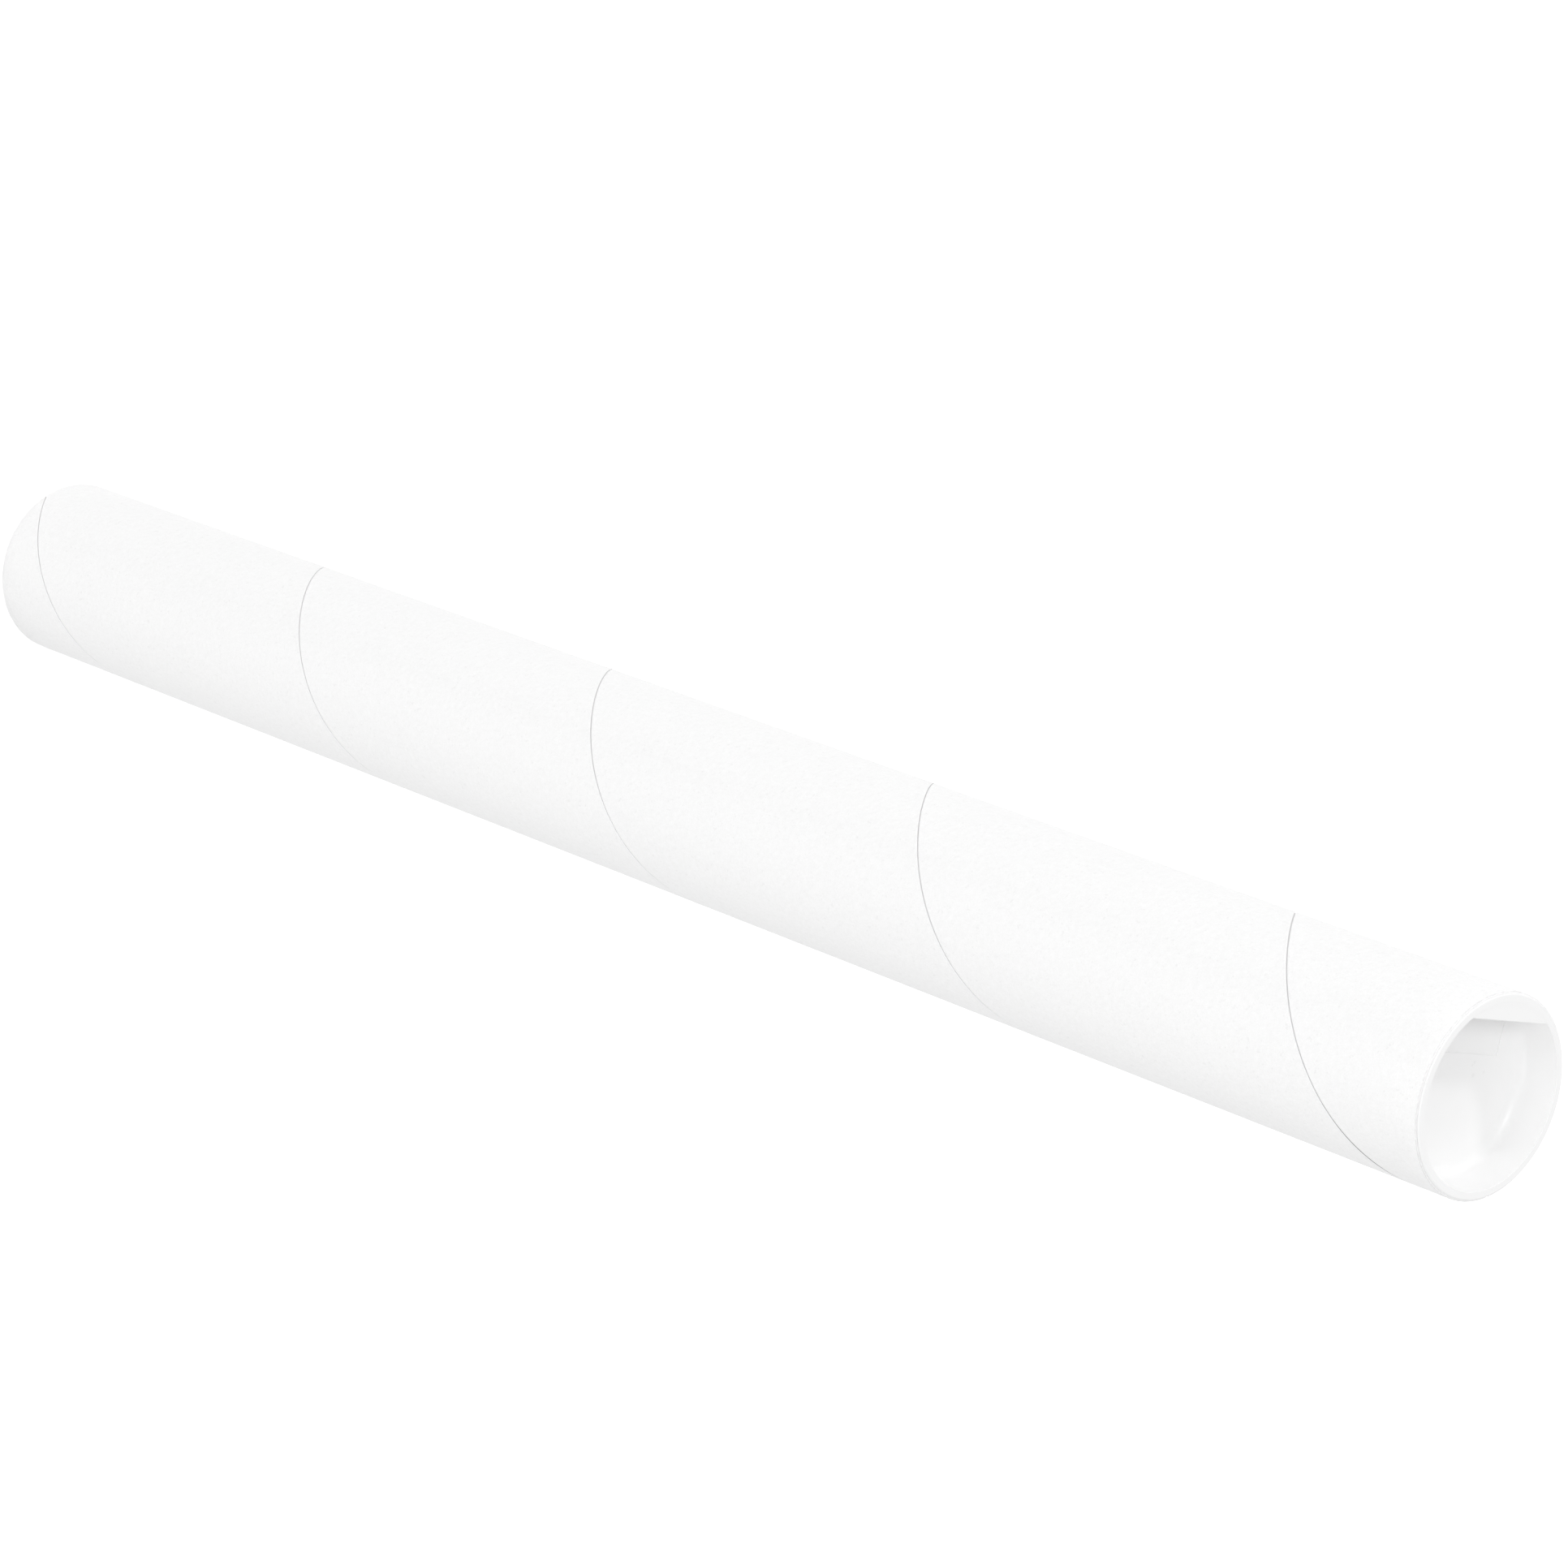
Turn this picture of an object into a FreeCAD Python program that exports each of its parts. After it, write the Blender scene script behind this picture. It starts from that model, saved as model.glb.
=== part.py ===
import FreeCAD, Part
import math
import os
from FreeCAD import Vector

# A spiral-wound paper mailing tube, closed at each end by a moulded plug cap.
# Millimetres and degrees. It stands on its lower cap, on the plane Z = 0, with its axis along Z.

# Tube, cut to length for a sheet 24 inches wide
tube_length = 609.6
bore_diameter = 50.8
tube_wall = 2.0
cut_edge_bevel = 0.2

# Seam between the butted edges of the outermost paper strip
winding_angle = 51.5        # between the strip's edges and the tube's axis
outer_ply_thickness = 0.4
seam_gap = 0.5              # measured square to the seam
seam_end_angle = 19.1       # where the seam runs out at the upper end, round from +X

# Cap rim, which seats on the tube's cut end
rim_thickness = 0.6
rim_inset = 0.5             # the rim stays this far inside the tube's outer surface
rim_edge_bevel = 0.2
mouth_edge_bevel = 0.2

# Cap plug, a thin drafted cup that is pushed into the bore
plug_clearance = 0.06
plug_wall = 0.6
plug_draft = 2.5
recess_depth = 11.9         # from the rim's face to the floor of the cup
floor_thickness = 0.9
floor_corner_bevel = 0.8    # inside, where the wall meets the floor
lead_in = 1.4               # outside, round the tip that enters the bore first

# Ledge across one side of the cap's mouth, for the finger that pulls the cap out
ledge_reach = 5.0           # inwards from the edge of the mouth
ledge_thickness = 1.0
ledge_drop = 0.15           # below the rim's face
ledge_edge_radius = 0.2

# Shallow panel that the mould's side core leaves in the cap's floor, below the ledge
panel_overhang = 11.7       # how far it runs past the ledge's free edge
panel_width = 26.2
panel_depth = 0.25

# Sizes that follow
bore_radius = bore_diameter / 2
tube_radius = bore_radius + tube_wall
tube_bottom = rim_thickness
tube_top = tube_bottom + tube_length
draft_slope = math.tan(math.radians(plug_draft))
plug_radius = bore_radius - plug_clearance
mouth_radius = plug_radius - plug_wall
rim_radius = tube_radius - rim_inset

up = Vector(0, 0, 1)
axis_point = Vector(0, 0, 0)


# A solid of revolution about the tube's axis. Each corner of its section is a radius and a height.
def turned(corners):
    points = [Vector(radius, 0, height) for radius, height in corners]
    return Part.Face(Part.makePolygon(points + points[:1])).revolve(axis_point, up, 360)


# The slot that the strip's butted edges leave: a small rectangle carried along a right-handed helix.
# It is cut in stretches of up to half a turn, and runs past both cut ends of the tube.
def seam_slots():
    angle = math.radians(winding_angle)
    pitch = 2 * math.pi * tube_radius / math.tan(angle)
    overrun = pitch / 10
    start = tube_bottom - overrun
    turns = (tube_length + 2 * overrun) / pitch
    stretches = math.ceil(turns * 2)
    stretch_turns = turns / stretches
    stretch_height = stretch_turns * pitch

    outward = Vector(1, 0, 0)
    across = Vector(0, -math.cos(angle), math.sin(angle)) * (seam_gap / 2)
    inner = outward * (tube_radius - outer_ply_thickness)
    outer = outward * (tube_radius + outer_ply_thickness)
    profile = Part.makePolygon([inner - across, outer - across, outer + across, inner + across, inner - across])
    helix = Part.makeHelix(pitch, stretch_height, tube_radius)
    stretch = Part.Wire(helix.Edges).makePipeShell([profile], True, True)

    start_angle = seam_end_angle - 360 * (tube_top - start) / pitch
    slots = []
    for number in range(stretches):
        slot = stretch.copy()
        slot.rotate(axis_point, up, start_angle + 360 * number * stretch_turns)
        slot.translate(up * (start + number * stretch_height))
        slots.append(slot)
    return slots


def make_tube():
    wall = turned([
        (bore_radius, tube_bottom),
        (tube_radius - cut_edge_bevel, tube_bottom),
        (tube_radius, tube_bottom + cut_edge_bevel),
        (tube_radius, tube_top - cut_edge_bevel),
        (tube_radius - cut_edge_bevel, tube_top),
        (bore_radius, tube_top),
    ])
    return wall.cut(seam_slots())


# Radius of the drafted wall's inner or outer face at a height. The rim's back is at height 0.
def inner_radius(height):
    return mouth_radius + (height - rim_thickness) * draft_slope


def outer_radius(height):
    return plug_radius + height * draft_slope


# The cap's rim, wall and floor in one section, with the cup hanging below the rim
def cap_shell():
    floor_top = rim_thickness - recess_depth
    floor_bottom = floor_top - floor_thickness
    corner_height = floor_top + floor_corner_bevel
    lead_in_height = floor_bottom + lead_in
    lip_height = rim_thickness - mouth_edge_bevel
    return turned([
        (0, floor_top),
        (inner_radius(floor_top) - floor_corner_bevel, floor_top),
        (inner_radius(corner_height), corner_height),
        (inner_radius(lip_height), lip_height),
        (mouth_radius + mouth_edge_bevel, rim_thickness),
        (rim_radius - rim_edge_bevel, rim_thickness),
        (rim_radius, rim_thickness - rim_edge_bevel),
        (rim_radius, 0),
        (plug_radius, 0),
        (outer_radius(lead_in_height), lead_in_height),
        (outer_radius(floor_bottom) - lead_in, floor_bottom),
        (0, floor_bottom),
    ])


# The two long edges of the ledge's slab that lie across the mouth
def is_free_edge(edge, free_edge):
    box = edge.BoundBox
    return abs(box.XMin - free_edge) < 1e-6 and box.YLength > ledge_thickness


# The ledge is a thin slab across one side of the mouth. Its free edge is rounded, and its round side ends
# inside the thickness of the cap's wall.
def cap_ledge():
    free_edge = ledge_reach - mouth_radius
    top = rim_thickness - ledge_drop
    bottom = top - ledge_thickness
    within_wall = mouth_radius + plug_wall / 3
    slab = Part.makeBox(free_edge + rim_radius, 2 * rim_radius, ledge_thickness,
                        Vector(-rim_radius, -rim_radius, bottom))
    free_edges = [edge for edge in slab.Edges if is_free_edge(edge, free_edge)]
    slab = slab.makeFillet(ledge_edge_radius, free_edges)
    return slab.common(Part.makeCylinder(within_wall, ledge_thickness, Vector(0, 0, bottom)))


# The panel runs from under the ledge across the floor, and stops where the floor's bevelled corner starts.
def floor_panel():
    floor_top = rim_thickness - recess_depth
    flat_radius = inner_radius(floor_top) - floor_corner_bevel
    near_edge = ledge_reach + panel_overhang - mouth_radius
    corner = Vector(near_edge - flat_radius, -panel_width / 2, floor_top - panel_depth)
    block = Part.makeBox(flat_radius, panel_width, panel_depth, corner)
    disc = Part.makeCylinder(flat_radius, panel_depth, Vector(0, 0, floor_top - panel_depth))
    return block.common(disc)


def make_cap():
    return cap_shell().fuse(cap_ledge()).cut(floor_panel()).removeSplitter()


# The caps are one moulding. The lower one is turned over about X, so both ledges lie on the same side.
def place_caps():
    top_cap = make_cap()
    bottom_cap = top_cap.copy()
    top_cap.translate(up * tube_top)
    bottom_cap.rotate(axis_point, Vector(1, 0, 0), 180)
    bottom_cap.translate(up * tube_bottom)
    return top_cap, bottom_cap


top_cap, bottom_cap = place_caps()
pieces = {"tube": make_tube(), "top_cap": top_cap, "bottom_cap": bottom_cap}

os.makedirs("parts", exist_ok=True)
for name, shape in pieces.items():
    shape.exportStep("parts/" + name + ".step")
    print(name, "solids", len(shape.Solids), "valid", shape.isValid(), "volume", round(shape.Volume / 1000, 3), "cm3")
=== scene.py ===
import math

import bmesh
import bpy
import numpy as np
from mathutils import Matrix, Vector


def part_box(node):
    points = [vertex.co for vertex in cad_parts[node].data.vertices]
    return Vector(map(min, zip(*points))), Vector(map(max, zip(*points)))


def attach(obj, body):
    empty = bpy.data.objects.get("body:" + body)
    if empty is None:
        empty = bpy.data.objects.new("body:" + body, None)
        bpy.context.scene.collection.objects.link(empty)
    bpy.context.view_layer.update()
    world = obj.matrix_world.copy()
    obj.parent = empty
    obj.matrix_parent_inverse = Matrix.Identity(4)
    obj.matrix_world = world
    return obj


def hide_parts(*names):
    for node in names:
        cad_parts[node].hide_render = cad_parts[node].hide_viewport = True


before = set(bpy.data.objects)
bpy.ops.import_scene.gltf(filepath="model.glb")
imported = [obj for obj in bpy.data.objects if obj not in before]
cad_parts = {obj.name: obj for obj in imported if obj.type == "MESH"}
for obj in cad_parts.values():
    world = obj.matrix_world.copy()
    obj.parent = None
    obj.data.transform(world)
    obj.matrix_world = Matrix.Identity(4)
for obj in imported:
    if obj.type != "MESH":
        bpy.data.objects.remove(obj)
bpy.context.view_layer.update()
mm = 0.001

tubeLow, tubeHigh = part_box("tube")
tubeBottom, tubeTop, tubeRadius = tubeLow.z, tubeHigh.z, tubeHigh.x


# Mesh helpers

def newObject(name, points, faces):
    mesh = bpy.data.meshes.new(name)
    mesh.from_pydata(np.asarray(points).tolist(), [], faces)
    piece = bpy.data.objects.new(name, mesh)
    bpy.context.scene.collection.objects.link(piece)
    return piece


def smoothShade(piece, sharpAngle):
    piece.data.shade_smooth()
    piece.data.set_sharp_from_angle(angle=math.radians(sharpAngle))


# Grid of vertex numbers to quads. Rows run outwards along the first index and columns along the second,
# and each quad is (row, column), (row + 1, column), (row + 1, column + 1), (row, column + 1).
def gridQuads(numbers):
    quads = np.stack([numbers[:-1, :-1], numbers[1:, :-1], numbers[1:, 1:], numbers[:-1, 1:]], axis=-1)
    return quads.reshape(-1, 4)


# A smooth random line: a sum of sines of the angle turned, each wave with its own seeded phase and
# a strength that falls as its rate rises. Its values stay within about -1 and 1.
def waver(turned, seed, rates):
    random = np.random.default_rng(seed)
    total = np.zeros_like(turned)
    for rate in rates:
        total += np.sin(turned * rate + random.uniform(0, 2 * math.pi)) / math.sqrt(rate / rates[0])
    return total / math.sqrt(len(rates))


# The paper tube

paperTube = {
    "boreRadius": 25.4 * mm,
    "windingAngle": 51.5,       # degrees, between the strip's edges and the tube's axis
    "seamEnd": 19.1,            # degrees round from +X, where the seam runs out at the top
    "seamWidth": 0.34 * mm,
    "seamDepth": 0.4 * mm,
    "edgeRound": 0.12 * mm,     # rounding of the strip's two edges along the seam
    "edgeLift": 0.03 * mm,      # how far those edges stand up
    "liftReach": 1.8 * mm,
    "edgeWander": 0.05 * mm,
    "endOpening": 0.22 * mm,    # by which each edge has sprung back near the upper end
    "openReach": 36 * mm,
    "cutDip": 0.05 * mm,        # how far the uneven upper cut falls short below the cap's rim
    "dipAngle": -50.0,          # degrees round from +X, where it falls shortest
    "dipSpread": 35.0,          # degrees
    "dipWaver": 0.12,           # share of the dip that wavers all round
    "dipFade": 1.5 * mm,        # distance from the cut over which it dies out
    "cutRound": 0.2 * mm,       # rounding of the tube's cut ends
    "columns": 432,
    "seed": 11,
}


# Section of the seam from its middle to the middle of the strip, as distances from the seam's middle
# and depths below the surface: half the gap's floor, its upright wall, a quarter round, then the lifted
# edge that sinks back to the surface along a smooth step.
def seamSection(strip):
    half = paperTube["seamWidth"] / 2
    turn = np.radians([0, 30, 60, 90])
    edge = paperTube["edgeRound"]
    lift = paperTube["edgeLift"]
    share = np.array([0.12, 0.3, 0.5, 0.75, 1.0])
    rest = np.array([0.06, 0.15, 0.35, 0.65])
    reach = half + edge + paperTube["liftReach"]
    away = np.concatenate([
        [0, half],
        half + edge * (1 - np.cos(turn)),
        half + edge + paperTube["liftReach"] * share,
        reach + (strip / 2 - reach) * rest,
    ])
    depth = np.concatenate([
        [paperTube["seamDepth"], paperTube["seamDepth"]],
        edge * (1 - np.sin(turn)) - lift,
        -lift * (1 - share * share * (3 - 2 * share)),
        np.zeros(len(rest)),
    ])
    return away, depth


# The outer wall is one long strip wound round the axis. Its first parameter is the angle round the tube
# and its second the row across the strip. A row's height is the seam's height at that angle, which climbs
# a pitch each turn, plus the row's distance from the seam divided by the sine of the winding angle, and
# its radius is the tube's less the section's depth. The last column joins the first one turn higher up.
# The edges wander a little, and near the upper end both have drawn back from the gap.
def woundWall():
    angle = math.radians(paperTube["windingAngle"])
    pitch = 2 * math.pi * tubeRadius / math.tan(angle)
    away, depth = seamSection(pitch * math.sin(angle))
    away = np.concatenate([-away[:0:-1], away])
    depth = np.concatenate([depth[:0:-1], depth])
    side = np.sign(away)
    perTurn = len(away)
    columns = paperTube["columns"]
    turns = math.ceil((tubeTop - tubeBottom) / pitch) + 1

    around = np.arange(columns)[:, None] * 2 * math.pi / columns
    turnNumber = np.repeat(np.arange(turns), perTurn)[None, :] - (turns - 1)
    turned = around + 2 * math.pi * turnNumber
    fade = np.clip(1 - np.abs(np.abs(away) - paperTube["seamWidth"] / 2) / paperTube["liftReach"], 0, 1)
    lower = waver(turned, paperTube["seed"], [1.3, 2.9, 7.1, 17.3, 41.0])
    upper = waver(turned, paperTube["seed"] + 1, [1.7, 3.7, 8.9, 19.1, 37.0])
    wander = np.where(np.tile(side, turns)[None, :] < 0, lower, upper)
    wander = wander * np.tile(fade * np.abs(side), turns)[None, :] * paperTube["edgeWander"]

    seamHeight = tubeTop + (around - math.radians(paperTube["seamEnd"])) / (2 * math.pi) * pitch
    seamHeight = seamHeight + turnNumber * pitch
    sprung = np.clip(2 - 2 * (tubeTop - seamHeight) / paperTube["openReach"], 0, 1) ** 2
    wander += sprung * np.tile(fade * side, turns)[None, :] * paperTube["endOpening"]
    height = seamHeight + (np.tile(away, turns)[None, :] + wander) / math.sin(angle)
    radius = tubeRadius - np.tile(depth, turns)[None, :] + 0 * height
    points = np.stack([radius * np.cos(around), radius * np.sin(around), height], axis=-1)

    numbers = np.arange(columns * turns * perTurn).reshape(columns, -1)
    quads = gridQuads(numbers)
    join = gridQuads(np.stack([numbers[-1, :-perTurn], numbers[0, perTurn:]]))
    quads = np.concatenate([quads, join])
    heights = height.reshape(-1)[quads]
    margin = 2 * mm
    near = (heights.max(axis=1) > tubeBottom - margin) & (heights.min(axis=1) < tubeTop + margin)
    return points.reshape(-1, 3), quads[near]


# The bore is a plain cylinder, its rows in height and its columns round the axis, facing inwards.
def boreWall(rows):
    columns = paperTube["columns"]
    around = np.arange(columns) * 2 * math.pi / columns
    height = np.linspace(tubeTop, tubeBottom, rows)
    radius = paperTube["boreRadius"]
    ring = np.stack([radius * np.cos(around), radius * np.sin(around)], axis=-1)
    points = np.concatenate([np.tile(ring, (rows, 1)), np.repeat(height, columns)[:, None]], axis=1)
    numbers = np.arange(rows * columns).reshape(rows, columns)
    numbers = np.concatenate([numbers, numbers[:, :1]], axis=1)
    return points, gridQuads(numbers.T)


# Cuts the wound wall off square at both ends, adds the bore, and fills the two flat rings between them.
# Lines are cut round the wall near its ends as well, for the rounding of the cut edge.
def makeTube():
    wallPoints, wallQuads = woundWall()
    borePoints, boreQuads = boreWall(9)
    tube = newObject("mailing_tube", wallPoints, wallQuads.tolist())
    form = bmesh.new()
    form.from_mesh(tube.data)
    loose = [vertex for vertex in form.verts if not vertex.link_faces]
    bmesh.ops.delete(form, geom=loose, context="VERTS")
    cutRound = paperTube["cutRound"]
    for end, up in ((tubeBottom, -1), (tubeTop, 1)):
        for share in (1.0, 0.5, 0.2, 0.06, 0.0):
            level = end - up * cutRound * share
            bmesh.ops.bisect_plane(form, geom=form.verts[:] + form.edges[:] + form.faces[:], dist=1e-7,
                                   plane_co=(0, 0, level), plane_no=(0, 0, up), clear_outer=(share == 0.0))
    ends = [edge for edge in form.edges if edge.is_boundary]
    boreVertices = [form.verts.new(point) for point in borePoints]
    form.verts.index_update()
    for quad in boreQuads:
        form.faces.new([boreVertices[number] for number in quad])
    ends += [edge for edge in form.edges if edge.is_boundary and edge not in set(ends)]
    for end, up in ((tubeBottom, -1), (tubeTop, 1)):
        ring = [edge for edge in ends if abs(edge.verts[0].co.z - end) < 0.01 * mm]
        bmesh.ops.triangle_fill(form, edges=ring, use_beauty=True, normal=(0, 0, up))
    form.to_mesh(tube.data)
    form.free()

    places = np.zeros(len(tube.data.vertices) * 3, np.float32)
    tube.data.vertices.foreach_get("co", places)
    places = places.reshape(-1, 3)
    radius = np.hypot(places[:, 0], places[:, 1])
    fromEnd = np.minimum(places[:, 2] - tubeBottom, tubeTop - places[:, 2]).clip(0, cutRound)
    limit = tubeRadius - cutRound + np.sqrt(cutRound ** 2 - (cutRound - fromEnd) ** 2)
    limit = np.where(fromEnd < cutRound * 0.999, limit, tubeRadius + paperTube["edgeLift"])
    places[:, :2] *= np.minimum(1, limit / radius)[:, None]
    around = np.arctan2(places[:, 1], places[:, 0])
    fromDip = (around - math.radians(paperTube["dipAngle"]) + math.pi) % (2 * math.pi) - math.pi
    dip = np.exp(-(fromDip / math.radians(paperTube["dipSpread"])) ** 2)
    dip += paperTube["dipWaver"] * (1 + waver(around, 5, [3, 8, 19]))
    atTop = np.clip(1 - (tubeTop - places[:, 2]) / paperTube["dipFade"], 0, 1)
    places[:, 2] -= paperTube["cutDip"] * dip * atTop
    tube.data.vertices.foreach_set("co", places.reshape(-1))
    smoothShade(tube, 40)
    return tube


# The caps

cap = {
    "rimThickness": 0.6 * mm,
    "rimRadius": 26.85 * mm,
    "rimRound": 0.4 * mm,
    "mouthRound": 0.1 * mm,
    "plugRadius": 25.34 * mm,
    "plugWall": 0.6 * mm,
    "draft": 2.5,               # degrees
    "recessDepth": 11.9 * mm,
    "floorThickness": 0.9 * mm,
    "floorRound": 3.2 * mm,     # inside, where the wall meets the floor
    "leadRound": 1.5 * mm,      # outside, round the tip that enters the bore first
    "columns": 256,
}

ledge = {
    "reach": 5.0 * mm,
    "thickness": 1.0 * mm,
    "drop": 0.06 * mm,
    "round": 0.2 * mm,
    "inWall": 0.4 * mm,         # how far its round side runs into the cap's wall
    "climbStart": 0.55,         # shares of the way to the wall between which its top climbs to the rim
    "climbEnd": 0.94,
    "rimStep": 0.004 * mm,      # by which it stays below the rim's face there
}

panel = {
    "overhang": 11.7 * mm,      # past the ledge's free edge
    "width": 26.2 * mm,
    "depth": 0.18 * mm,
}

draftSlope = math.tan(math.radians(cap["draft"]))
mouthRadius = cap["plugRadius"] - cap["plugWall"]
floorTop = cap["rimThickness"] - cap["recessDepth"]
ledgeEdge = ledge["reach"] - mouthRadius


# An outline through corners (radius, height, rounding). A rounded corner becomes an arc that touches both
# of its sides. A point just before and after each arc keeps the shading of the flats flat.
def roundedOutline(corners, steps, holdBack):
    places = np.array([corner[:2] for corner in corners], float)
    outline = [places[:1]]
    for number in range(1, len(corners) - 1):
        here, rounding = places[number], corners[number][2]
        before = places[number - 1] - here
        after = places[number + 1] - here
        before = before / np.linalg.norm(before)
        after = after / np.linalg.norm(after)
        half = math.acos(float(before @ after)) / 2
        tangent = rounding / math.tan(half)
        middle = (before + after) / np.linalg.norm(before + after)
        centre = here + middle * rounding / math.sin(half)
        start, end = here + before * tangent, here + after * tangent
        share = np.linspace(0, 1, steps)[:, None]
        sweep = math.pi - 2 * half
        arc = centre + ((start - centre) * np.sin((1 - share) * sweep)
                        + (end - centre) * np.sin(share * sweep)) / math.sin(sweep)
        outline += [[here + before * (tangent + holdBack)], arc, [here + after * (tangent + holdBack)]]
    outline.append(places[-1:])
    return np.concatenate(outline)


# An outline (radius, height) turned round the axis: each point goes to (r cos a, r sin a, h). Its first and
# last points lie on the axis and are one vertex each.
def turnedMesh(outline, columns):
    around = np.arange(columns) * 2 * math.pi / columns
    radius, height = outline[1:-1, 0:1], outline[1:-1, 1:2]
    rings = np.stack([radius * np.cos(around), radius * np.sin(around), height + 0 * around], axis=-1)
    first, last = (0, 0, outline[0, 1]), (0, 0, outline[-1, 1])
    points = np.concatenate([rings.reshape(-1, 3), [first, last]])
    numbers = np.arange(len(radius) * columns).reshape(-1, columns)
    numbers = np.concatenate([numbers, numbers[:, :1]], axis=1)
    pole = len(points) - 2
    fan = [(pole, a, b) for a, b in zip(numbers[0, :-1].tolist(), numbers[0, 1:].tolist())]
    fan += [(pole + 1, b, a) for a, b in zip(numbers[-1, :-1].tolist(), numbers[-1, 1:].tolist())]
    return points, gridQuads(numbers).tolist() + fan


def capShell():
    innerAtFloor = mouthRadius - cap["recessDepth"] * draftSlope
    floorBottom = floorTop - cap["floorThickness"]
    outerAtFloor = cap["plugRadius"] + floorBottom * draftSlope
    corners = [
        (0, floorTop, 0),
        (innerAtFloor, floorTop, cap["floorRound"]),
        (mouthRadius, cap["rimThickness"], cap["mouthRound"]),
        (cap["rimRadius"], cap["rimThickness"], cap["rimRound"]),
        (cap["rimRadius"], 0, 0.1 * mm),
        (cap["plugRadius"], 0, 0.05 * mm),
        (outerAtFloor, floorBottom, cap["leadRound"]),
        (0, floorBottom, 0),
    ]
    return turnedMesh(roundedOutline(corners, 8, 0.06 * mm), cap["columns"])


# A slab that lies across one side of the cap. Its outline is carried along Y. A point of it has a reach
# from the slab's straight edge, a share of the way on from there to the circle of arcRadius, and a height.
def chordSlab(name, straightEdge, arcRadius, halfWidth, section, rows):
    along = np.linspace(-halfWidth, halfWidth, rows)[:, None]
    back = straightEdge + np.sqrt(arcRadius ** 2 - along ** 2)
    start, share, height = np.array(section).T[:, None, :]
    reach = start + (back - start) * share
    height = height + 0 * reach
    points = np.stack([straightEdge - reach, along + 0 * reach, height], axis=-1)
    count = len(section)
    numbers = np.arange(rows * count).reshape(rows, count)
    wrapped = np.concatenate([numbers, numbers[:, :1]], axis=1)
    faces = gridQuads(wrapped).tolist() + [numbers[0, ::-1].tolist(), numbers[-1].tolist()]
    slab = newObject(name, points.reshape(-1, 3), faces)
    form = bmesh.new()
    form.from_mesh(slab.data)
    bmesh.ops.recalc_face_normals(form, faces=form.faces)
    form.to_mesh(slab.data)
    form.free()
    return slab


# The ledge's top climbs to the rim along a cosine: rise * (1 - cos(pi * share of the climb)) / 2.
def ledgeSlab():
    top = cap["rimThickness"] - ledge["drop"]
    bottom = top - ledge["thickness"]
    turn = np.radians(np.linspace(0, 90, 6))
    upper = [(ledge["round"] * (1 - math.sin(a)), 0, top - ledge["round"] * (1 - math.cos(a))) for a in turn]
    lower = [(reach, 0, top + bottom - height) for reach, share, height in reversed(upper)]
    hold = ledge["round"] + 0.06 * mm
    rise = ledge["drop"] - ledge["rimStep"]
    start, end = ledge["climbStart"], ledge["climbEnd"]
    climb = [(hold, share, top + rise * (1 - math.cos(math.pi * (share - start) / (end - start))) / 2)
             for share in np.linspace(end, start, 7)]
    section = [(hold, 1, top + rise)] + climb + [(hold, 0, top)] + upper + lower
    section += [(hold, 0, bottom), (hold, 1, bottom)]
    arcRadius = mouthRadius + ledge["inWall"]
    halfWidth = math.sqrt(arcRadius ** 2 - (ledgeEdge - hold - 0.02 * mm) ** 2)
    return chordSlab("ledge", ledgeEdge, arcRadius, halfWidth, section, 49)


def panelBlock():
    bottom = floorTop - panel["depth"]
    above = floorTop + panel["depth"]
    flatRadius = mouthRadius - cap["recessDepth"] * draftSlope - cap["floorRound"]
    section = [(0, 1, above), (0, 0, above), (0, 0, bottom), (0, 1, bottom)]
    return chordSlab("panel", ledgeEdge + panel["overhang"], flatRadius, panel["width"] / 2, section, 33)


# Joins the other piece to this one, or cuts it away, and deletes the other piece.
def combine(piece, other, operation):
    change = piece.modifiers.new("combine", "BOOLEAN")
    change.operation = operation
    change.solver = "EXACT"
    change.object = other
    shown = piece.evaluated_get(bpy.context.evaluated_depsgraph_get())
    mesh = bpy.data.meshes.new_from_object(shown)
    piece.modifiers.clear()
    piece.data = mesh
    bpy.data.objects.remove(other)


# One moulding, made with the rim's back at height 0. The upper cap is lifted to the tube's top, and the
# lower one is first turned half round about X.
def makeCap(name, node, body, place):
    points, faces = capShell()
    piece = newObject(name, points, faces)
    combine(piece, ledgeSlab(), "UNION")
    combine(piece, panelBlock(), "DIFFERENCE")
    piece.data.transform(place)
    smoothShade(piece, 35)
    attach(piece, body)
    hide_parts(node)
    return piece


# Shared shader effects

def newGroup(name, inputs, outputs):
    group = bpy.data.node_groups.new(name, "ShaderNodeTree")
    for label, kind, value in inputs:
        socket = group.interface.new_socket(label, in_out="INPUT", socket_type=kind)
        if value is not None:
            socket.default_value = value
    for label, kind in outputs:
        group.interface.new_socket(label, in_out="OUTPUT", socket_type=kind)
    return group


# Links a socket's value, or sets it where the value is a plain one
def feed(tree, socket, value):
    if isinstance(value, bpy.types.NodeSocket):
        tree.links.new(value, socket)
    else:
        socket.default_value = value


def addNode(tree, kind, settings=None, **inputs):
    node = tree.nodes.new(kind)
    for label, value in (settings or {}).items():
        setattr(node, label, value)
    for label, value in inputs.items():
        feed(tree, node.inputs[label.replace("_", " ")], value)
    return node


def addMath(tree, operation, *values):
    node = tree.nodes.new("ShaderNodeMath")
    node.operation = operation
    for socket, value in zip(node.inputs, values):
        feed(tree, socket, value)
    return node.outputs[0]


# Goes from 0 to 1 as the value goes from start to end, in a smooth step or a straight line
def addRamp(tree, value, start, end, shape="SMOOTHSTEP"):
    node = addNode(tree, "ShaderNodeMapRange", {"interpolation_type": shape}, Value=value)
    node.inputs["From Min"].default_value = start
    node.inputs["From Max"].default_value = end
    return node.outputs[0]


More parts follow.
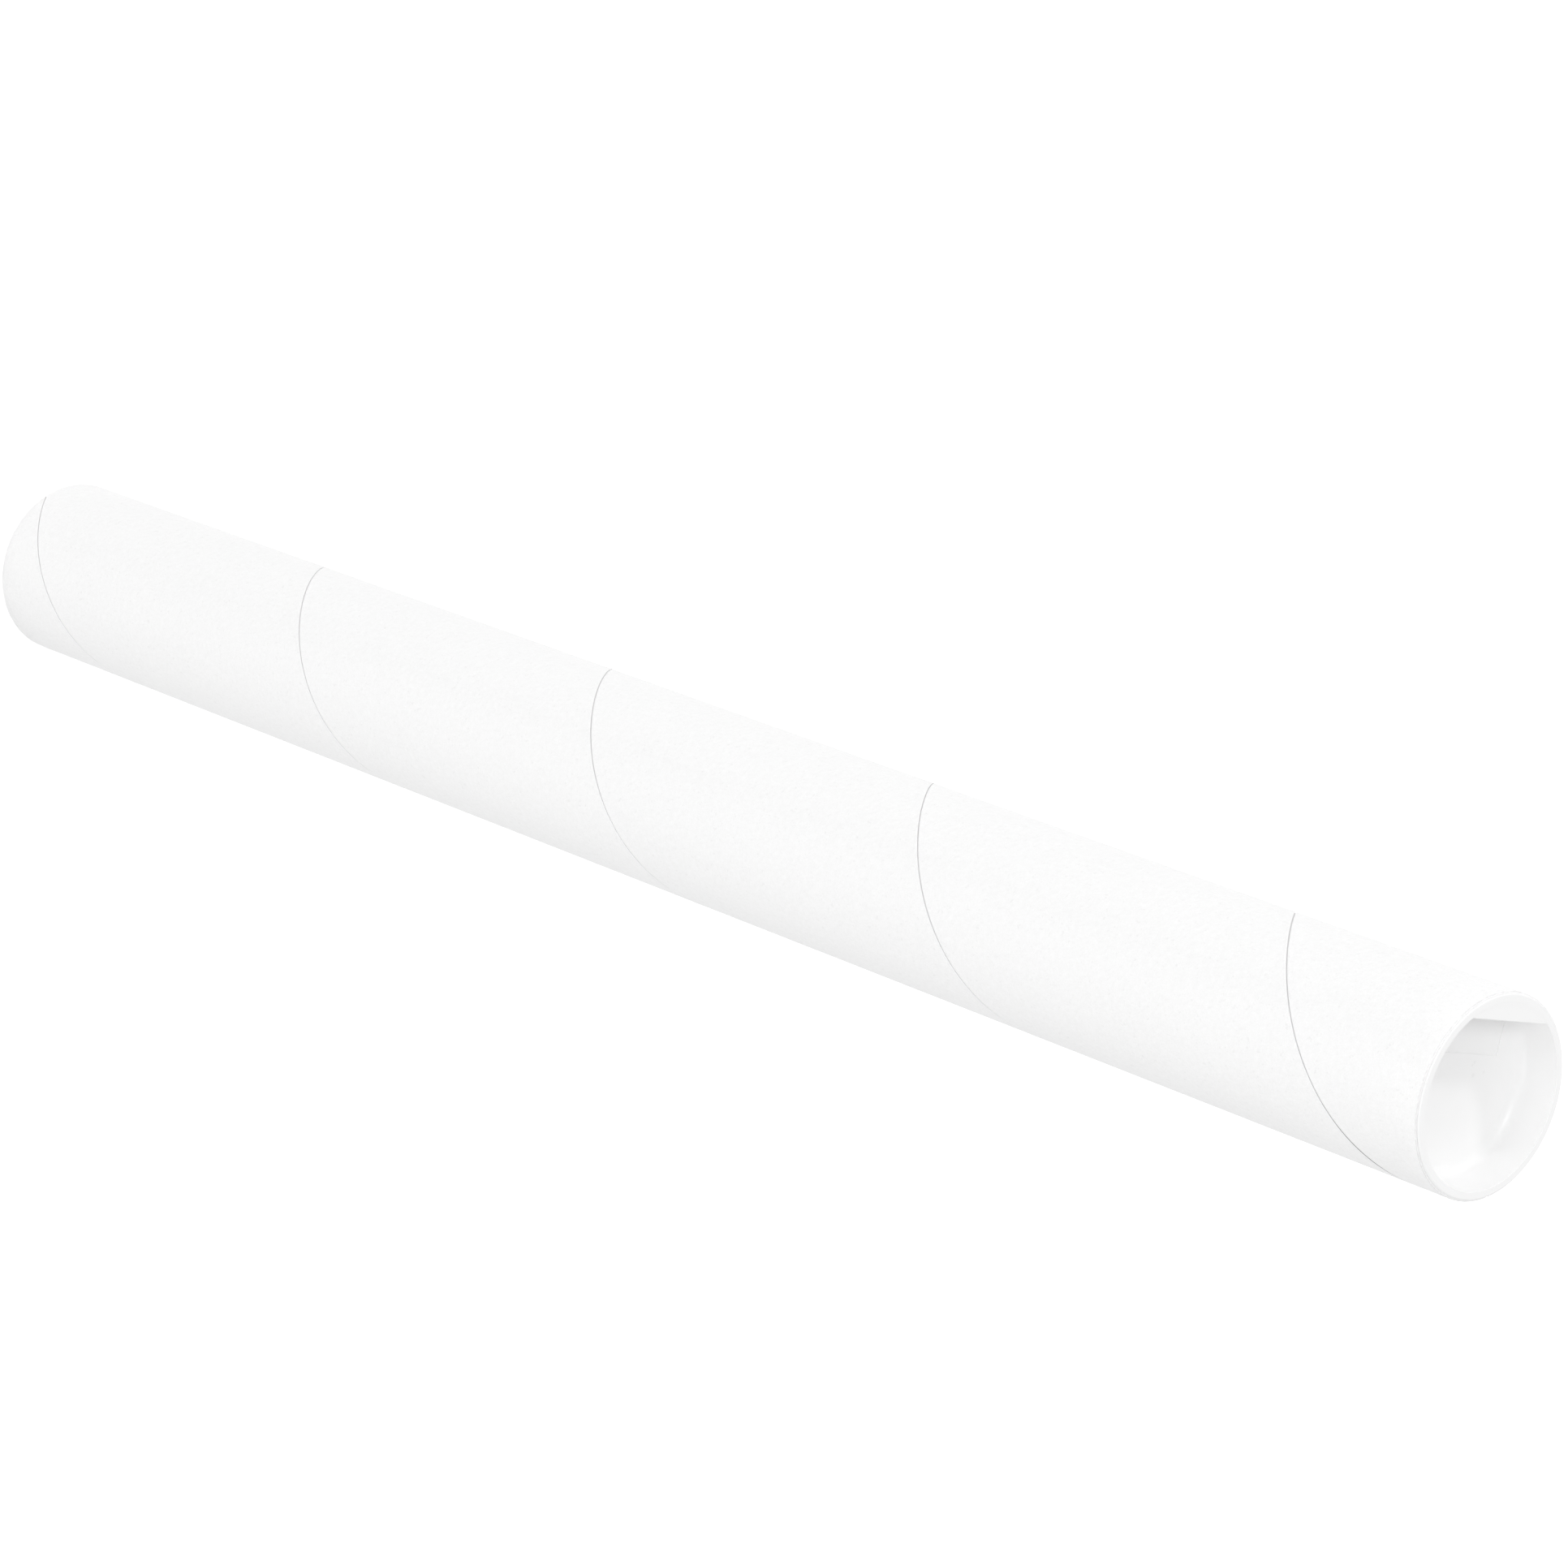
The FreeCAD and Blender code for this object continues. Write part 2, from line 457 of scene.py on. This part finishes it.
# Cloudy mottle and fine grain at two scales, both running from -1 to 1, the two as one height, and a mask
# of scattered flecks
def makeGrainGroup():
    group = newGroup("surface grain", [
        ("Place", "NodeSocketVector", None),
        ("Cloud Scale", "NodeSocketFloat", 1000.0),
        ("Grain Scale", "NodeSocketFloat", 4000.0),
        ("Grain Share", "NodeSocketFloat", 0.5),
        ("Fleck Scale", "NodeSocketFloat", 1500.0),
    ], [("Value", "NodeSocketFloat"), ("Flecks", "NodeSocketFloat"), ("Height", "NodeSocketFloat")])
    given = group.nodes.new("NodeGroupInput").outputs
    made = group.nodes.new("NodeGroupOutput").inputs
    place = given["Place"]
    cloud = addNode(group, "ShaderNodeTexNoise", Vector=place, Scale=given["Cloud Scale"], Detail=3.0)
    grain = addNode(group, "ShaderNodeTexNoise", Vector=place, Scale=given["Grain Scale"], Detail=2.0)
    cloudValue = addMath(group, "MULTIPLY_ADD", cloud.outputs["Fac"], 2.0, -1.0)
    grainValue = addMath(group, "MULTIPLY_ADD", grain.outputs["Fac"], 2.0, -1.0)
    mixed = addMath(group, "MULTIPLY_ADD", grainValue, given["Grain Share"], cloudValue)
    fleck = addNode(group, "ShaderNodeTexNoise", Vector=place, Scale=given["Fleck Scale"], Detail=1.0)
    group.links.new(addRamp(group, fleck.outputs["Fac"], 0.66, 0.76), made["Flecks"])
    group.links.new(mixed, made["Value"])
    group.links.new(mixed, made["Height"])
    return group


def placeGroup(tree, group, **inputs):
    return addNode(tree, "ShaderNodeGroup", {"node_tree": group}, **inputs).outputs


def newMaterial(name):
    material = bpy.data.materials.new(name)
    material.use_nodes = True
    tree = material.node_tree
    shader = tree.nodes["Principled BSDF"]
    place = tree.nodes.new("ShaderNodeTexCoord").outputs["Object"]
    return material, tree, shader, place


paper = {
    "colour": (0.955, 0.955, 0.955),
    "cloudScale": 700.0,
    "grainScale": 2200.0,
    "fleckScale": 900.0,
    "shadeChange": 0.045,        # share by which the mottle changes the colour
    "fleckShade": 0.05,         # and by which a dark fibre does
    # the raw ply's grey, made darker in part as painted shade for the seam's groove
    "plyGreyAndShade": (0.83, 0.83, 0.83),
    "gapStart": 0.01 * mm,      # depth below the surface at which the raw ply begins to show
    "gapEnd": 0.1 * mm,
    "seamStop": (0.05 * mm, 0.3 * mm),      # distances from a cut edge between which the ply fades in
    "openShade": 0.45,          # painted shade: how much darker the gap is painted where the seam has sprung open, for the shadow in the opened gap
    "cutPaintedShade": 0.14,           # painted shade: how dark the broken line painted round a cut edge is, for the shadow in the joint under the cap's rim
    "cutShadeReach": (0.3 * mm, 0.1 * mm),        # its reach from the cut, and where it is in full
    "cutBreaks": (0.32, 0.58),              # noise levels between which it comes and goes
    "roughness": 0.72,
    "roughnessChange": 0.06,
    "bump": 0.5,
    "bumpDistance": 0.02 * mm,
}


# White liner paper: a faint mottle with a few dark fibres. Where the seam goes down through the liner the
# raw ply shows, by the distance from the axis; its grey is partly painted shade for the groove, and it is
# painted darker where the seam has sprung open, as shade in the opened gap. Round each cut edge runs a
# broken dark line of painted shade, for the shadow in the joint under the cap's rim.
def paperMaterial(grain):
    material, tree, shader, place = newMaterial("white paper")
    values = placeGroup(tree, grain, Place=place, Cloud_Scale=paper["cloudScale"],
                        Grain_Scale=paper["grainScale"], Grain_Share=1.0, Fleck_Scale=paper["fleckScale"])
    shade = addMath(tree, "MULTIPLY_ADD", values["Value"], paper["shadeChange"], 1.0)
    shade = addMath(tree, "MULTIPLY_ADD", values["Flecks"], -paper["fleckShade"], shade)

    axes = addNode(tree, "ShaderNodeSeparateXYZ", Vector=place).outputs
    across = addMath(tree, "MULTIPLY", axes["X"], axes["X"])
    across = addMath(tree, "SQRT", addMath(tree, "MULTIPLY_ADD", axes["Y"], axes["Y"], across))
    fromMiddle = addMath(tree, "ABSOLUTE", addMath(tree, "SUBTRACT", axes["Z"], (tubeBottom + tubeTop) / 2))
    fromEnd = addMath(tree, "SUBTRACT", (tubeTop - tubeBottom) / 2, fromMiddle)
    gap = addRamp(tree, across, tubeRadius - paper["gapStart"], tubeRadius - paper["gapEnd"])
    inSeam = addMath(tree, "MULTIPLY", gap, addRamp(tree, fromEnd, *paper["seamStop"]))
    openReach = paperTube["openReach"]
    # Painted shade: near the upper end, where the seam has sprung open, the gap is painted darker for the
    # shadow deep in it
    opened = addRamp(tree, axes["Z"], tubeTop - openReach, tubeTop - openReach / 2)
    openGapPaintedShade = addMath(tree, "MULTIPLY_ADD", opened, -paper["openShade"], 1.0)
    # The seam's colour: the raw ply's grey, darkened as painted shade for the groove
    plyGreyAndShade = addNode(tree, "ShaderNodeVectorMath", {"operation": "SCALE"}, Scale=openGapPaintedShade)
    plyGreyAndShade.inputs[0].default_value = paper["plyGreyAndShade"]
    # Painted shade: a broken dark line round each cut edge, for the shadow in the joint under the cap's rim
    outside = addRamp(tree, across, tubeRadius - 0.25 * mm, tubeRadius - 0.1 * mm, "LINEAR")
    atCut = addMath(tree, "MULTIPLY", outside, addRamp(tree, fromEnd, *paper["cutShadeReach"]))
    broken = addNode(tree, "ShaderNodeTexNoise", Vector=place, Scale=900.0, Detail=1.0).outputs["Fac"]
    brokenCutShade = addMath(tree, "MULTIPLY", atCut, addRamp(tree, broken, *paper["cutBreaks"], "LINEAR"))
    shade = addMath(tree, "MULTIPLY", shade, addMath(tree, "MULTIPLY_ADD", brokenCutShade, -paper["cutPaintedShade"], 1.0))

    colour = addNode(tree, "ShaderNodeVectorMath", {"operation": "SCALE"}, Scale=shade)
    colour.inputs[0].default_value = paper["colour"]
    mix = addNode(tree, "ShaderNodeMix", {"data_type": "RGBA"})
    tree.links.new(inSeam, mix.inputs["Factor"])
    tree.links.new(colour.outputs[0], mix.inputs[6])
    tree.links.new(plyGreyAndShade.outputs[0], mix.inputs[7])
    tree.links.new(mix.outputs[2], shader.inputs["Base Color"])
    roughness = addMath(tree, "MULTIPLY_ADD", values["Value"], paper["roughnessChange"], paper["roughness"])
    tree.links.new(roughness, shader.inputs["Roughness"])
    bump = addNode(tree, "ShaderNodeBump", Height=values["Height"], Strength=paper["bump"],
                   Distance=paper["bumpDistance"])
    tree.links.new(bump.outputs["Normal"], shader.inputs["Normal"])
    return material


plastic = {
    "colour": (0.94, 0.94, 0.94),
    "shadeChange": 0.006,
    "cloudScale": 260.0,
    "grainScale": 2400.0,
    "grainShare": 0.35,
    # X, Y and radius of each mark, in millimetres
    "marks": [(-6.0, 5.2, 0.7), (-3.6, 9.7, 0.6), (-2.6, 5.8, 0.8), (-5.2, 4.6, 0.5)],
    "markShade": 0.05,
    "roughness": 0.32,
    "roughnessChange": 0.05,
    "bump": 0.04,
    "bumpDistance": 0.02 * mm,
}


# Smooth white plastic with a barely visible mottle, and a few small dark marks on the cap's floor
def plasticMaterial(grain):
    material, tree, shader, place = newMaterial("white polyethylene")
    values = placeGroup(tree, grain, Place=place, Cloud_Scale=plastic["cloudScale"],
                        Grain_Scale=plastic["grainScale"], Grain_Share=plastic["grainShare"])
    shade = addMath(tree, "MULTIPLY_ADD", values["Value"], plastic["shadeChange"], 1.0)
    axes = addNode(tree, "ShaderNodeSeparateXYZ", Vector=place).outputs
    flat = addNode(tree, "ShaderNodeCombineXYZ", X=axes["X"], Y=axes["Y"]).outputs[0]
    for x, y, radius in plastic["marks"]:
        away = addNode(tree, "ShaderNodeVectorMath", {"operation": "DISTANCE"})
        tree.links.new(flat, away.inputs[0])
        away.inputs[1].default_value = (x * mm, y * mm, 0)
        mark = addRamp(tree, away.outputs["Value"], radius * mm, radius * mm / 3)
        shade = addMath(tree, "MULTIPLY_ADD", mark, -plastic["markShade"], shade)
    colour = addNode(tree, "ShaderNodeVectorMath", {"operation": "SCALE"}, Scale=shade)
    colour.inputs[0].default_value = plastic["colour"]
    tree.links.new(colour.outputs[0], shader.inputs["Base Color"])
    roughness = addMath(tree, "MULTIPLY_ADD", values["Value"], plastic["roughnessChange"],
                        plastic["roughness"])
    tree.links.new(roughness, shader.inputs["Roughness"])
    bump = addNode(tree, "ShaderNodeBump", Height=values["Height"], Strength=plastic["bump"],
                   Distance=plastic["bumpDistance"])
    tree.links.new(bump.outputs["Normal"], shader.inputs["Normal"])
    return material


# The floor takes the object's shadow. For the camera, and in reflections, it also glows a little, so that
# it shows as white wherever no shadow lies.
floor = {"halfSize": 4.0, "colour": 0.82, "glow": 0.6}


def makeFloor():
    half = floor["halfSize"]
    corners = [(-half, -half, 0), (half, -half, 0), (half, half, 0), (-half, half, 0)]
    piece = newObject("floor", corners, [(0, 1, 2, 3)])
    material, tree, shader, place = newMaterial("studio floor")
    shader.inputs["Base Color"].default_value = (floor["colour"],) * 3 + (1,)
    shader.inputs["Roughness"].default_value = 0.9
    shader.inputs["Specular IOR Level"].default_value = 0.0
    ray = tree.nodes.new("ShaderNodeLightPath").outputs
    seen = addMath(tree, "MAXIMUM", ray["Is Camera Ray"], ray["Is Glossy Ray"])
    seen = addMath(tree, "MAXIMUM", seen, ray["Is Transmission Ray"])
    shader.inputs["Emission Color"].default_value = (1, 1, 1, 1)
    tree.links.new(addMath(tree, "MULTIPLY", seen, floor["glow"]), shader.inputs["Emission Strength"])
    piece.data.materials.append(material)


# Light: an even white room, a small key from one side, and three large soft lamps round the camera. The
# lamps stand far off, so that the tube is lit evenly from end to end.
room = {"level": 0.72}

lamps = {
    "key": {"azimuth": 155.0, "elevation": 28.0, "distance": 6.0, "size": 0.6, "level": 0.168},
    "overhead": {"azimuth": -120.0, "elevation": 50.0, "distance": 6.0, "size": 1.8, "level": 0.2},
    "low front": {"azimuth": -60.0, "elevation": 15.0, "distance": 6.0, "size": 3.6, "level": 0.14},
    "side": {"azimuth": -150.0, "elevation": 15.0, "distance": 6.0, "size": 3.6, "level": 0.05},
}


def makeRoom():
    world = bpy.data.worlds.new("room")
    world.use_nodes = True
    bpy.context.scene.world = world
    tree = world.node_tree
    tree.nodes["Background"].inputs["Color"].default_value = (1, 1, 1, 1)
    ray = tree.nodes.new("ShaderNodeLightPath").outputs
    level = addMath(tree, "MAXIMUM", ray["Is Camera Ray"], room["level"])
    tree.links.new(level, tree.nodes["Background"].inputs["Strength"])


# A lamp's level is the brightness that it alone gives a white surface that faces it. The lamp's power
# for that is the level times pi squared times its distance squared.
def makeLamp(name, lamp):
    azimuth, elevation = math.radians(lamp["azimuth"]), math.radians(lamp["elevation"])
    towards = Vector((math.cos(azimuth) * math.cos(elevation), math.sin(azimuth) * math.cos(elevation),
                      math.sin(elevation)))
    aim = Vector((0, 0, tubeTop))
    light = bpy.data.lights.new(name, "AREA")
    light.shape = "DISK"
    light.size = lamp["size"]
    light.energy = lamp["level"] * (math.pi * lamp["distance"]) ** 2
    piece = bpy.data.objects.new(name, light)
    piece.location = aim + towards * lamp["distance"]
    piece.rotation_euler = towards.to_track_quat("Z", "Y").to_euler()
    bpy.context.scene.collection.objects.link(piece)


# The camera, at the photograph's viewing angle. Azimuth 0 looks along +Y.
viewpoint = {
    "place": (-0.21148, -1.15228, 1.50397),
    "azimuth": -9.765,
    "elevation": 44.842,
    "roll": 110.05,
    "lens": 134.34,             # millimetres, for a square picture 36 mm wide
    "sensor": 36.0,
}


def makeCamera():
    data = bpy.data.cameras.new("camera")
    data.lens = viewpoint["lens"]
    data.sensor_width = viewpoint["sensor"]
    data.clip_start, data.clip_end = 0.05, 20
    piece = bpy.data.objects.new("camera", data)
    turn = (Matrix.Rotation(math.radians(viewpoint["azimuth"]), 4, "Z")
            @ Matrix.Rotation(math.radians(90 - viewpoint["elevation"]), 4, "X")
            @ Matrix.Rotation(math.radians(viewpoint["roll"]), 4, "Z"))
    piece.matrix_world = Matrix.Translation(viewpoint["place"]) @ turn
    bpy.context.scene.collection.objects.link(piece)
    bpy.context.scene.camera = piece


print("making the tube")
grain = makeGrainGroup()
tube = makeTube()
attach(tube, "tube")
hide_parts("tube")
tube.data.materials.append(paperMaterial(grain))

print("making the caps")
upperCap = makeCap("end_cap_upper", "top_cap", "top_cap", Matrix.Translation((0, 0, tubeTop)))
lowerCap = makeCap("end_cap_lower", "bottom_cap", "bottom_cap",
                   Matrix.Translation((0, 0, tubeBottom)) @ Matrix.Rotation(math.pi, 4, "X"))
capFinish = plasticMaterial(grain)
for piece in (upperCap, lowerCap):
    piece.data.materials.clear()
    piece.data.materials.append(capFinish)

print("making the floor, the light and the camera")
makeFloor()
makeRoom()
for name, lamp in lamps.items():
    makeLamp(name, lamp)
makeCamera()
bpy.context.scene.view_settings.view_transform = "Standard"
